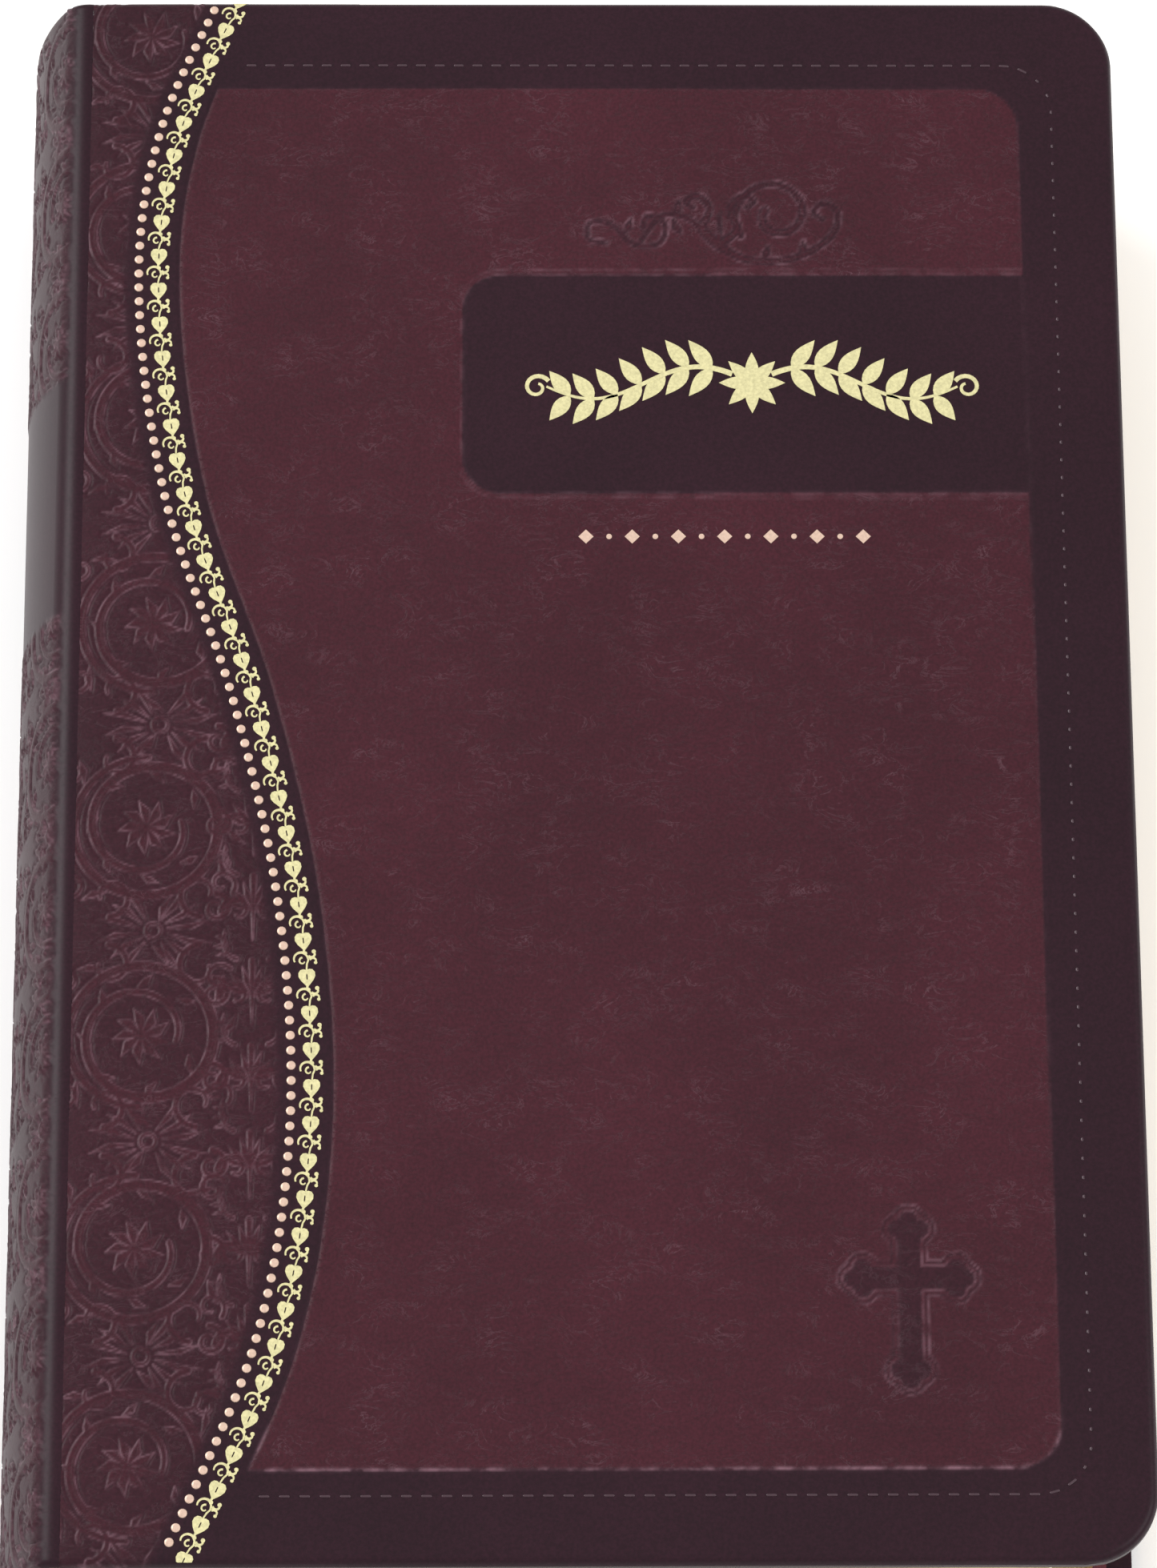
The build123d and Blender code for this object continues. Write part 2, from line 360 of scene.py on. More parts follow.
class Pressing:
    """A plate of the pressed design: distances to its strokes over a patch of cover, in millimetres."""

    def __init__(self, x_low, x_high, y_low, y_high):
        self.x = np.arange(x_low, x_high + CELL, CELL)
        self.y = np.arange(y_low, y_high + CELL, CELL)
        self.band = np.full((len(self.y), len(self.x)), FAR_AWAY)

    def stroke(self, points, width_start, width_end):
        """Mark a stroke that tapers between two widths; band holds the distance outside its edge."""
        p = np.array(points, float)
        half = np.linspace(width_start, width_end, len(p)) / 2
        for (ax, ay), (bx, by), ra, rb in zip(p, p[1:], half, half[1:]):
            reach = max(ra, rb) + 1.2
            i0, i1 = np.searchsorted(self.x, (min(ax, bx) - reach, max(ax, bx) + reach))
            j0, j1 = np.searchsorted(self.y, (min(ay, by) - reach, max(ay, by) + reach))
            if i0 == i1 or j0 == j1:
                continue
            gx, gy = np.meshgrid(self.x[i0:i1], self.y[j0:j1])
            dx, dy = bx - ax, by - ay
            t = np.clip(((gx - ax) * dx + (gy - ay) * dy) / max(dx * dx + dy * dy, 1e-9), 0, 1)
            away = np.hypot(gx - ax - t * dx, gy - ay - t * dy) - (ra + (rb - ra) * t)
            self.band[j0:j1, i0:i1] = np.minimum(self.band[j0:j1, i0:i1], away)

    def at(self, x, y):
        """The distance at points of the cover, read between cells."""
        fx = np.clip((x - self.x[0]) / CELL, 0, len(self.x) - 1.001)
        fy = np.clip((y - self.y[0]) / CELL, 0, len(self.y) - 1.001)
        i, j = fx.astype(int), fy.astype(int)
        u, v = fx - i, fy - j
        b = self.band
        low = b[j, i] * (1 - u) + b[j, i + 1] * u
        high = b[j + 1, i] * (1 - u) + b[j + 1, i + 1] * u
        return low * (1 - v) + high * v


def arc(cx, cy, radius_start, radius_end, degrees_start, degrees_end, steps=26):
    """Points of a spiral arc."""
    a = np.radians(np.linspace(degrees_start, degrees_end, steps))
    r = np.linspace(radius_start, radius_end, steps)
    return np.column_stack([cx + r * np.cos(a), cy + r * np.sin(a)])


def around(x, y, radius, degrees):
    """The point at a radius and a bearing from a centre."""
    a = math.radians(degrees)
    return x + radius * math.cos(a), y + radius * math.sin(a)


def leaf_spray(plate, x, y, heading, size, side=1):
    """A sprig: a curved stem with paired pointed leaves along it."""
    stem = arc(x, y, 0, size, heading, heading + 50 * side, 14)
    plate.stroke(stem, 0.16 * size, 0.03 * size)
    for share in (4, 7, 10):
        sx, sy = stem[share]
        for lean in (-48, 48):
            tip = around(sx, sy, size * (0.44 - 0.02 * share), heading + 60 * side * share / 14 + lean)
            middle = ((sx + tip[0]) / 2 + 0.1, (sy + tip[1]) / 2)
            plate.stroke([(sx, sy), middle], 0.05 * size, 0.13 * size)
            plate.stroke([middle, tip], 0.13 * size, 0.01)


def rosette(plate, x, y, radius, petals):
    """A flower head of pointed petals round a bud."""
    for n in range(petals):
        a = 2 * math.pi * n / petals + 0.3
        mid = (x + 0.55 * radius * math.cos(a), y + 0.55 * radius * math.sin(a))
        tip = (x + radius * math.cos(a + 0.18), y + radius * math.sin(a + 0.18))
        plate.stroke([(x, y), mid], 0.1 * radius, 0.34 * radius)
        plate.stroke([mid, tip], 0.34 * radius, 0.02)
    plate.stroke([(x - 0.05, y), (x + 0.05, y)], 0.3 * radius, 0.3 * radius)


def leaf(plate, x, y, heading, length, width):
    """One pointed leaf from its stalk, with a slight bend."""
    middle = around(x, y, 0.5 * length, heading)
    tip = around(*middle, 0.5 * length, heading + 16)
    plate.stroke([(x, y), middle], 0.2, width)
    plate.stroke([middle, tip], width, 0.02)


def medallion(plate, x, y, radius, turn):
    """A round scroll that coils in to a flower head, with leaves off both sides of its ribbon."""
    start = 90 * turn
    inward = start + 300 * turn
    plate.stroke(arc(x, y, radius, 0.95 * radius, start, inward, 50), 0.9, 1.5)
    plate.stroke(arc(x, y, 0.95 * radius, 0.46 * radius, inward, start + 640 * turn, 60), 1.5, 0.7)
    rosette(plate, x, y, 0.4 * radius, 9)
    for a in range(0, 360, 24):
        lean, reach, share = (62, 0.68, 0.27) if a % 48 else (-50, 1.06, 0.36)
        leaf(plate, *around(x, y, reach * radius, a * turn), (a + lean) * turn, share * radius, 0.95)
    for a in (40, 140, 220, 320):
        b = math.radians(a)
        curl_x, curl_y = x + 1.32 * radius * math.cos(b), y + 1.25 * radius * math.sin(b)
        plate.stroke(arc(curl_x, curl_y, 0.2 * radius, 0.06 * radius, a, a + 330, 16), 0.7, 0.4)


def knot(plate, x, y, size):
    """A tied knot between two medallions, with fans of narrow leaves on both sides."""
    plate.stroke(arc(x, y, 0.16 * size, 0.16 * size, 0, 360, 16), 0.5, 0.5)
    for side in (0, 180):
        for a in (-56, -34, -12, 12, 34, 56):
            reach = size * (1.25 if abs(a) < 20 else 1.0)
            leaf(plate, *around(x, y, 0.3 * size, a + side), a + side - 8, 0.75 * reach, 0.8)
    for turn in (1, -1):
        left = (x - 0.9 * size, y + turn * 0.75 * size, 0.45 * size, 0.2 * size)
        right = (x + 0.95 * size, y + turn * 0.8 * size, 0.5 * size, 0.2 * size)
        plate.stroke(arc(*left, -90 * turn, 190 * turn, 18), 0.9, 0.5)
        plate.stroke(arc(*right, 180 + 90 * turn, 180 - 190 * turn, 18), 0.9, 0.5)


def pendant(plate, x, y, size):
    """An upright palmette on a pair of out-curled arms."""
    for turn in (1, -1):
        start = 90 - 90 * turn
        curl = arc(x + turn * 0.42 * size, y, 0.42 * size, 0.12 * size, start, start + 290 * turn)
        plate.stroke(curl, 1.0, 0.4)
        for lean in (18, 42, 68):
            tip = around(x, y, 0.9 * size, 90 - turn * lean)
            middle = ((x + tip[0]) / 2, (y + tip[1]) / 2)
            plate.stroke([(x, y), middle], 0.2, 0.9)
            plate.stroke([middle, tip], 0.9, 0.05)
    plate.stroke([(x, y - 0.8 * size), (x, y), (x, y + size)], 0.2, 0.9)


scroll_plate = Pressing(-66, -28, -half_height, half_height)
MEDALLION_X = (-53.6, -53.9, -52.6, -52.0, -52.4, -52.6, -53.0, -53.4)
MEDALLION_PITCH = 27.0
PENDANT_X = -39.2
PENDANT_PITCH = 11.0
for n, row_x in enumerate(MEDALLION_X):
    row_y = 98.0 - n * MEDALLION_PITCH
    medallion(scroll_plate, row_x, row_y, 9.2, -1 if n % 2 else 1)
    knot(scroll_plate, row_x + 1.0, row_y - MEDALLION_PITCH / 2, 6.0)
for n in range(9):
    row_y = 12.0 - n * PENDANT_PITCH
    pendant(scroll_plate, PENDANT_X, row_y, 4.6)
    for turn in (1, -1):
        leaf_spray(scroll_plate, PENDANT_X + 2.0 * turn, row_y - 6.2, 90 - 70 * turn, 4.2, turn)
        curl = arc(PENDANT_X + 4.6 * turn, row_y + 0.4, 1.9, 0.6, 90, 90 + 380 * turn, 20)
        scroll_plate.stroke(curl, 0.9, 0.5)


def rounded_box(x, y, x_low, x_high, y_low, y_high, radius):
    """Distance outside a rounded rectangle, negative within it."""
    qx = np.abs(x - (x_low + x_high) / 2) - (x_high - x_low) / 2 + radius
    qy = np.abs(y - (y_low + y_high) / 2) - (y_high - y_low) / 2 + radius
    return np.hypot(np.maximum(qx, 0), np.maximum(qy, 0)) + np.minimum(np.maximum(qx, qy), 0) - radius


CROSS_X = 40.5
CROSS_Y = -68.0
CROSS_SIZE = 0.9
CROSS_BAR = 3.2


def cross_distance(x, y):
    """Distance outside a budded cross, each arm ending in three round lobes."""
    u, v = (x - CROSS_X) / CROSS_SIZE, (y - CROSS_Y) / CROSS_SIZE
    shape = np.minimum(
        rounded_box(u, v, -CROSS_BAR / 2, CROSS_BAR / 2, -12.6, 6.8, 0.3),
        rounded_box(u, v, -6.4, 6.4, -CROSS_BAR / 2, CROSS_BAR / 2, 0.3),
    )
    for ex, ey in ((0, 7.2), (0, -13.0), (6.6, 0), (-6.6, 0)):
        along = np.array([ex, ey]) / math.hypot(ex, ey)
        across = np.array([-along[1], along[0]])
        for a, b in ((1.0, 0.0), (-0.3, 1.5), (-0.3, -1.5)):
            cx, cy = np.array([ex, ey]) + a * along + b * across
            lobe = np.hypot(u - cx, v - cy) - 1.25
            share = np.clip(0.5 + 0.5 * (lobe - shape) / 0.5, 0, 1)
            shape = lobe + (shape - lobe) * share - 0.5 * share * (1 - share)
    return shape * CROSS_SIZE


flourish_plate = Pressing(-2, 38, 62, 82)
left_coil = [(4.6, 69.0), (2.4, 69.6), (2.6, 71.8), (5.4, 71.6), (8.2, 68.8), (11.4, 69.0), (12.2, 71.6)]
right_sweep = [(19.2, 68.4), (23.0, 66.6), (28.6, 66.9), (33.0, 69.6), (34.3, 72.8), (32.6, 74.6)]
flourish_strokes = [
    (left_coil + [(10.0, 72.8), (9.3, 71.2)], 0.35, 0.45),
    ([(9.0, 69.2), (11.8, 72.8), (15.2, 72.4), (18.8, 69.2)], 0.35, 0.7),
    ([(18.9, 68.6), (16.9, 70.9), (17.9, 73.8), (16.3, 75.6), (14.9, 74.8), (15.8, 73.9)], 0.9, 0.35),
    ([(18.9, 68.6), (21.3, 70.9), (20.5, 73.8), (22.1, 75.6), (23.5, 74.8), (22.6, 73.9)], 0.9, 0.35),
    ([(18.9, 68.8), (19.1, 71.0), (19.2, 73.2)], 0.7, 0.1),
    (right_sweep + [(31.2, 73.4), (32.2, 72.3)], 0.8, 0.4),
]
for points, start, end in flourish_strokes:
    flourish_plate.stroke(smooth_path(points, 10), start, end)
flourish_plate.stroke(arc(26.3, 73.0, 5.4, 1.5, 215, -200, 60), 0.5, 0.9)
flourish_leaves = [(7.0, 70.4, 60), (13.5, 72.9, 70), (13.2, 72.2, -70), (24.5, 66.6, 60), (29.5, 67.2, 75)]
for x, y, heading in flourish_leaves:
    leaf(flourish_plate, x, y, heading, 2.2, 0.8)

# The panel's left end is cut off by the leaf border, and the title panel runs out past the fore-edge.
PANEL_LEFT = -120
PANEL_TOP = 90.7
PANEL_BOTTOM = -91.5
PANEL_RIGHT = 57.9
PANEL_CORNER = 5.5
BORDER_GAP = 2.7
TITLE_LEFT = -13.7
TITLE_RIGHT = 90.0
TITLE_TOP = 64.6
TITLE_BOTTOM = 34.5
TITLE_CORNER = 5.0
GRAIN_RISE = 0.07
SECOND_LINE = 0.62
LINE_HIGHLIGHT = 0.35
HIGHLIGHT_WIDTH = 0.14
SCROLL_HIGHLIGHT = 0.42
JOINT_DIP = 0.26
JOINT_REACH = 3.4


def crease(distance, width):
    """A pressed line where the distance is near nought."""
    return np.exp(-((distance / width) ** 2))


def within(distance):
    """One inside a shape and nought outside it, with a soft edge between."""
    return 1 - smooth_step(-0.1, 0.1, distance)


tile_start = spine_x + SPINE_ROUND + SHOULDER


def joint_dip(away):
    """The leather sinks a little towards the joint, where it bends when the book opens."""
    return JOINT_DIP * np.exp(-np.maximum(away, 0) / JOINT_REACH)


def front_design(x, y):
    """Depth below the cover's face, tone from smooth plum to grained burgundy, and painted highlight.

    A plate's strokes and shapes are distances, negative within them: the strokes stand up and their
    edges are pressed in. The painted highlight is how far the raised edges are lightened to stand in for
    the light they catch.
    """
    border = border_at(y)
    panel_right = PANEL_RIGHT - 0.005 * y
    panel = rounded_box(x, y, PANEL_LEFT, panel_right, PANEL_BOTTOM, PANEL_TOP, PANEL_CORNER)
    panel = np.maximum(panel, border + BORDER_GAP - x)
    title = rounded_box(x, y, TITLE_LEFT, TITLE_RIGHT, TITLE_BOTTOM, TITLE_TOP, TITLE_CORNER)
    near_flourish = (x > -1.5) & (x < 37.5) & (y > 62.5) & (y < 81.5)
    flourish = np.where(near_flourish, flourish_plate.at(x, y), FAR_AWAY)
    cross = cross_distance(x, y)
    inside = within(panel)
    dark = np.maximum.reduce([
        within(title),
        0.75 * crease(flourish, 0.2),
        0.6 * within(cross),
        0.5 * crease(cross - SECOND_LINE, 0.16),
    ])
    tone = inside * (1 - dark)
    depth = np.full_like(x, ground_depth)
    depth -= GRAIN_RISE * inside * (1 - dark)
    depth += 0.10 * crease(panel, 0.25) + 0.10 * crease(title, 0.22) * inside
    cross_lines = 0.12 * crease(cross - SECOND_LINE, 0.18) + 0.14 * crease(cross, 0.18)
    depth += cross_lines + 0.12 * crease(flourish, 0.16)
    above = (np.abs(x - 22) < 36) & (title > 0)
    second_line = crease(title - SECOND_LINE, 0.17) * above * inside
    depth += 0.13 * second_line
    scrolls = scroll_plate.at(x, y)
    clear_of_dots = smooth_step(4.0, 4.8, border - x)
    raised = (1 - smooth_step(-0.22, 0.06, scrolls)) * clear_of_dots
    hollow = crease(scrolls + 0.55, 0.3) * clear_of_dots
    depth -= 0.10 * raised - 0.07 * hollow
    depth += 0.09 * crease(scrolls - 0.14, 0.15) * clear_of_dots
    # Painted highlight along the pressed edges of the panel, title, cross, flourish and scrolls, brightest
    # along the panel's tail edge.
    tail_rim = 1 - smooth_step(PANEL_BOTTOM + 0.5, PANEL_BOTTOM + 7, y)
    panel_highlight = crease(panel, 0.2) * (0.06 + 0.7 * tail_rim)
    title_highlight = crease(title, 0.18) * inside * 0.22
    painted_highlight = panel_highlight + title_highlight + 0.25 * second_line
    cross_highlight = LINE_HIGHLIGHT * crease(cross - 0.1, HIGHLIGHT_WIDTH) + LINE_HIGHLIGHT * crease(cross - 0.8, HIGHLIGHT_WIDTH)
    painted_highlight += cross_highlight + LINE_HIGHLIGHT * crease(flourish - 0.22, HIGHLIGHT_WIDTH)
    painted_highlight = np.maximum(painted_highlight, crease(scrolls + 0.04, 0.11) * clear_of_dots * SCROLL_HIGHLIGHT)
    depth += joint_dip(x - tile_start)
    scroll_tone = (0.42 + 0.3 * raised) * smooth_step(2.9, 5.2, border - x)
    return depth, np.where(x < border, scroll_tone, tone), painted_highlight


def corner_trim(y, x_end, radius):
    """How far the fore-edge draws in at the rounded corners."""
    over = np.clip(np.abs(y) - (half_height - radius), 0, radius)
    return x_end - radius + np.sqrt(np.maximum(radius**2 - over**2, 0))


def edge_fall(away, radius):
    """How far leather that rolls over an edge lies below its face, by its distance in from the edge."""
    fall = np.clip(1 - away / radius, 0, 0.999)
    return radius * (1 - np.sqrt(1 - fall**2))


EDGE_ROUND = 1.1
UNDERSIDE = 2.3


def relief_tile(name, x_start, x_end, columns, rows, design, up=1):
    """A grid of leather from x_start to x_end, pressed by design, with its cut edges and underside."""
    tile = new_grid(name, columns, rows)
    flat = read_points(tile)
    y = flat[:, 1] * half_height
    reaches_edge = x_end > fore_x - 0.01
    far = corner_trim(y, x_end, CORNER) if reaches_edge else x_end
    x = x_start + (flat[:, 0] + 1) / 2 * (far - x_start)
    depth, tone, painted_highlight = design(x, y)
    edge = half_height - np.abs(y)
    if reaches_edge:
        corner_x, corner_y = fore_x - CORNER, half_height - CORNER
        in_corner = (x > corner_x) & (np.abs(y) > corner_y)
        round_edge = CORNER - np.hypot(x - corner_x, np.abs(y) - corner_y)
        edge = np.where(in_corner, round_edge, np.minimum(edge, fore_x - x))
    depth = depth + edge_fall(edge, EDGE_ROUND)
    z = top - depth * mm if up > 0 else depth * mm
    place_points(tile, x * mm, y * mm, z)
    mark_tones(tile, tone, painted_highlight)
    close_underneath(tile, top - UNDERSIDE * mm if up > 0 else UNDERSIDE * mm)
    return tile


def mark_tones(tile, tone, painted_highlight):
    """Keep each point's tone, and how bright a highlight is painted on its pressed edge."""
    for name, values in (("tone", tone), ("painted_highlight", painted_highlight)):
        mark = tile.data.attributes.new(name, "FLOAT", "POINT")
        mark.data.foreach_set("value", np.asarray(values, float) + np.zeros(len(mark.data)))


def close_underneath(tile, level):
    """Draw the tile's rim down to the underside of the leather and close it with one face."""
    mesh = bmesh.new()
    mesh.from_mesh(tile.data)
    rim = [e for e in mesh.edges if e.is_boundary]
    for edge in rim:
        edge.smooth = False
    walls = bmesh.ops.extrude_edge_only(mesh, edges=rim)["geom"]
    for vertex in (g for g in walls if isinstance(g, bmesh.types.BMVert)):
        vertex.co.z = level
    lower = [g for g in walls if isinstance(g, bmesh.types.BMEdge) and g.is_boundary]
    bmesh.ops.contextual_create(mesh, geom=lower)
    bmesh.ops.recalc_face_normals(mesh, faces=mesh.faces)
    mesh.to_mesh(tile.data)
    mesh.free()
    for face in tile.data.polygons:
        face.use_smooth = len(face.vertices) == 4
    tile.data.update()


def spread(tree, source, low, high, least):
    """A pattern's value drawn out, from least at low to one at high."""
    inputs = {0: source, "From Min": low, "From Max": high, "To Min": least}
    return add_node(tree, "ShaderNodeMapRange", {}, inputs).outputs[0]


def make_leather(name):
    """Two-tone imitation leather: smooth plum, and burgundy with a fine creased grain; highlights are
    painted on the grain and on the pressed edges.
    """
    material, tree, shader = new_material(name)
    point = object_place(tree)
    tone = add_node(tree, "ShaderNodeAttribute", {"attribute_name": "tone"}, {}).outputs[2]
    painted_highlight = add_node(tree, "ShaderNodeAttribute", {"attribute_name": "painted_highlight"}, {}).outputs[2]
    turned = {0: point, "Scale": (0.8, 1.5, 1.0), "Rotation": (0, 0, 0.35)}
    stretched = add_node(tree, "ShaderNodeMapping", {}, turned).outputs[0]
    wrinkling = {0: stretched, "Scale": 1 / (3.4 * mm), "Detail": 7.0, "Roughness": 0.66, "Distortion": 0.9}
    wander = add_node(tree, "ShaderNodeTexNoise", {}, wrinkling).outputs[0]
    off_middle = calculate(tree, "ABSOLUTE", calculate(tree, "SUBTRACT", wander, 0.5))
    wrinkle = ramp(tree, off_middle, 0.0, (1, 1, 1, 1), 0.016, (0, 0, 0, 1))
    fine = noise(tree, point, 0.4, 5.0)
    patches = noise(tree, point, 7, 4.0)
    flecks = noise(tree, point, 2.6, 5.0)
    clouds = noise(tree, point, 28, 3.0)
    plain = mix_colours(tree, tone, colour(PLUM), colour(BURGUNDY))
    mottle = ramp(tree, fine, 0.35, (0.78, 0.78, 0.78, 1), 0.7, (1.4, 1.35, 1.35, 1))
    speckled = mix_colours(tree, 0.7, plain, mottle, "MULTIPLY")
    drift = ramp(tree, clouds, 0.3, (0.86, 0.84, 0.86, 1), 0.7, (1.14, 1.1, 1.1, 1))
    clouded = mix_colours(tree, 0.9, speckled, drift, "MULTIPLY")
    # Painted highlight: the grain's creases, in patches, and the flecked pressed edges are lightened
    # towards the pale highlight tone.
    grained = calculate(tree, "MULTIPLY", wrinkle, tone)
    patchy = calculate(tree, "MULTIPLY", grained, spread(tree, patches, 0.44, 0.72, 0.12))
    flecked_edge_highlight = calculate(tree, "MULTIPLY", painted_highlight, spread(tree, flecks, 0.42, 0.64, 0.1))
    highlight_share = calculate(tree, "MULTIPLY_ADD", patchy, 0.32, flecked_edge_highlight)
    height = calculate(tree, "MULTIPLY_ADD", wrinkle, -0.5, fine)
    lift = calculate(tree, "MULTIPLY_ADD", tone, 0.5, 0.1)
    feed(tree, shader, {
        "Base Color": mix_colours(tree, highlight_share, clouded, colour(HIGHLIGHT_TONE)),
        "Roughness": calculate(tree, "MULTIPLY_ADD", tone, 0.08, 0.38),
        "Normal": bump(tree, height, lift, 0.1),
        "Specular IOR Level": 0.16,
    })
    return material


cover_leather = make_leather("two_tone_imitation_leather")
tile_edges = [
    (tile_start, -44.0, 110, 850),
    (-44.0, -27.0, 110, 850),
    (-27.0, 18.0, 150, 620),
    (18.0, fore_x, 155, 600),
]
front_tiles = []
for number, (x_start, x_end, columns, rows) in enumerate(tile_edges):
    tile = relief_tile("front_leather_%d" % (number + 1), x_start, x_end, columns, rows, front_design)
    tile.data.materials.append(cover_leather)
    front_tiles.append(tile)
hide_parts("front_cover_leather")
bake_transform(front_tiles[0])
for tile in front_tiles[1:]:
    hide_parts("front_cover_leather")
    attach(tile, "front_cover")

# ---- back cover leather: the same sheet carried round the book, pressed with a plain panel ----
# The same imitation leather, glued over the back board: one smooth plum border round a grained
# panel, with no scrolls and no foil.
BACK_PANEL_LEFT = -50.0


def back_design(x, y):
    """The back's plain grained panel in its smooth border, with a highlight painted along the panel's edge.
    """
    panel = rounded_box(x, y, BACK_PANEL_LEFT, PANEL_RIGHT, PANEL_BOTTOM, PANEL_TOP, PANEL_CORNER)
    inside = within(panel)
    depth = ground_depth - GRAIN_RISE * inside + 0.1 * crease(panel, 0.25) + joint_dip(x - tile_start)
    # The third value is painted highlight along the panel's pressed edge.
    return depth, inside, crease(panel, 0.2) * 0.5


BACK_COLUMNS = 230
BACK_ROWS = 340
back_tile = relief_tile("back_leather", tile_start, fore_x, BACK_COLUMNS, BACK_ROWS, back_design, up=-1)
back_tile.data.materials.append(cover_leather)
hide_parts("back_cover_leather")
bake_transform(back_tile)

# ---- spine leather: the middle of the sheet, moulded round the backs of the sections ----
# The same imitation leather, glued over a card inlay. It carries two runs of pressed scrolls with
# a smooth bare stretch between them.
spine_plate = Pressing(-31, 31, -half_height, half_height)
SPINE_BARE = (19.0, 50.0)
for n, turn in zip(range(11), (1, -1) * 6):
    row_y = 94.0 - n * 19.0
    for column_x in (-20.0, 0.0, 20.0):
        medallion(spine_plate, column_x, row_y, 7.6, turn if column_x else -turn)
        knot(spine_plate, column_x, row_y - 9.5, 3.6)
    for column_x in (-10.2, 10.2):
        for lift in (4.8, -4.8):
            leaf_spray(spine_plate, column_x, row_y + lift, 90 - 70 * turn, 4.2, turn)


def right_of(path):
    """The unit direction to the right of a path, at each of its points."""
    along = np.gradient(path, axis=0)
    along /= np.linalg.norm(along, axis=1)[:, None]
    return np.column_stack([along[:, 1], -along[:, 0]])


def path_run(path):
    """How far each point of a path lies along it."""
    return np.concatenate([[0], np.cumsum(np.linalg.norm(np.diff(path, axis=0), axis=1))])


def spine_profile(steps):
    """The outside of the spine from joint to joint, in millimetres."""
    mid = top / mm / 2
    radius = (mid**2 + SPINE_ROUND**2) / (2 * SPINE_ROUND)
    centre = spine_x + radius
    half_angle = math.asin(mid / radius)
    shoulder = 3.6
    cut = shoulder * math.tan((math.pi / 2 - half_angle) / 2)
    flat_end = spine_x + SPINE_ROUND + cut
    angles = np.linspace(half_angle - cut / radius, -half_angle + cut / radius, steps)
    back = np.column_stack([centre - radius * np.cos(angles), mid + radius * np.sin(angles)])
    round_top = []
    for share in np.linspace(0, 1, 9)[:-1]:
        a = (1 - share) ** 2 * np.array([flat_end, 2 * mid])
        b = 2 * share * (1 - share) * np.array([spine_x + SPINE_ROUND + 0.15, 2 * mid - 0.1])
        round_top.append(a + b + share**2 * back[0])
    flat_top = np.column_stack([np.linspace(tile_start, flat_end, 4)[:-1], np.full(3, 2 * mid)])
    upper = np.vstack([flat_top, round_top])
    lower = upper[::-1] * (1, -1) + (0, 2 * mid)
    return np.vstack([upper, back, lower])


profile = spine_profile(120)
outward = right_of(profile)
run = path_run(profile)
run -= run[-1] / 2
SPINE_ROWS = 320
SPINE_EDGE_ROUND = 0.8


def spine_half(name, y_low, y_high):
    """Half the spine's length of leather: the profile drawn along the book and pressed with its scrolls."""
    last = len(profile) - 1
    spine = new_grid(name, last, SPINE_ROWS)
    flat = read_points(spine)
    column = np.clip(np.round((flat[:, 0] + 1) / 2 * last).astype(int), 0, last)
    y = y_low + (flat[:, 1] + 1) / 2 * (y_high - y_low)
    scrolls = spine_plate.at(run[column], y)
    bare_low, bare_high = SPINE_BARE
    bare = smooth_step(bare_low - 1, bare_low, y) * (1 - smooth_step(bare_high, bare_high + 1, y))
    from_joint = run[-1] - np.abs(run[column])
    pressed = (1 - bare) * smooth_step(run[-1] - 2.2, run[-1] - 3.4, np.abs(run[column]))
    raised = (1 - smooth_step(-0.22, 0.06, scrolls)) * pressed
    edge_line = crease(scrolls - 0.14, 0.16) * pressed
    depth = ground_depth - 0.14 * raised + 0.18 * edge_line
    depth += edge_fall(half_height - np.abs(y), SPINE_EDGE_ROUND)
    depth += joint_dip(from_joint)
    place = profile[column] - outward[column] * depth[:, None]
    place_points(spine, place[:, 0] * mm, y * mm, place[:, 1] * mm)
    # Tone of the pressed scrolls, and painted highlight along their edges.
    mark_tones(spine, (0.3 + 0.2 * raised) * pressed, crease(scrolls + 0.04, 0.12) * 0.4 * pressed)
    spine.data.flip_normals()
    thicken = spine.modifiers.new("thickness", "SOLIDIFY")
    thicken.thickness = 0.5 * mm
    thicken.offset = -1
    bpy.ops.object.modifier_apply(modifier=thicken.name)
    mesh = bmesh.new()
    mesh.from_mesh(spine.data)
    bmesh.ops.recalc_face_normals(mesh, faces=mesh.faces)
    mesh.to_mesh(spine.data)
    mesh.free()
    bpy.ops.object.shade_smooth_by_angle(angle=math.radians(50))
    spine.data.materials.append(cover_leather)
    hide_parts("spine_leather")
    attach(spine, "block")


spine_half("spine_leather_tail_half", -half_height, 0.0)
spine_half("spine_leather_head_half", 0.0, half_height)

# ---- imitation stitching: a row of raised dashes pressed into the plum border ----
# The same leather as the cover, left standing in dashes by the hot plate, like a thread drawn
# through it. The dashes are shorter down the fore-edge side.
STITCH_PITCH = 2.42
STITCH_LENGTH = 1.3
SHORT_STITCH = 0.55
STITCH_WIDTH = 0.34
STITCH_HEIGHT = 0.11
STITCH_SINK = 0.17
FOIL_EDGE = 0.4
LAP = 0.004
LOOK_AHEAD = 0.3


def between_rings(sides, start):
    """The faces that join a ring of points, its first at start, to the ring after it."""
    faces = []
    for n in range(sides):
        following = (n + 1) % sides
        faces.append((start + n, start + following, start + sides + following, start + sides + n))
    return faces


def capsule(length, width, height, sides=8):
    """A low rounded dash along X, as points and faces, in millimetres."""
    points = []
    for level, shrink in ((0.0, 1.0), (0.65, 0.8), (1.0, 0.35)):
        for n in range(2 * sides):
            a = math.pi * (n + 0.5) / sides - math.pi / 2
            end = (length - width) / 2 if math.cos(a) > 0 else -(length - width) / 2
            radius = width / 2 * shrink
            points.append((end + radius * math.cos(a), radius * math.sin(a), level * height))
    ring = 2 * sides
    faces = [tuple(range(ring))[::-1], tuple(range(2 * ring, 3 * ring))]
    return np.array(points), faces + between_rings(ring, 0) + between_rings(ring, ring)


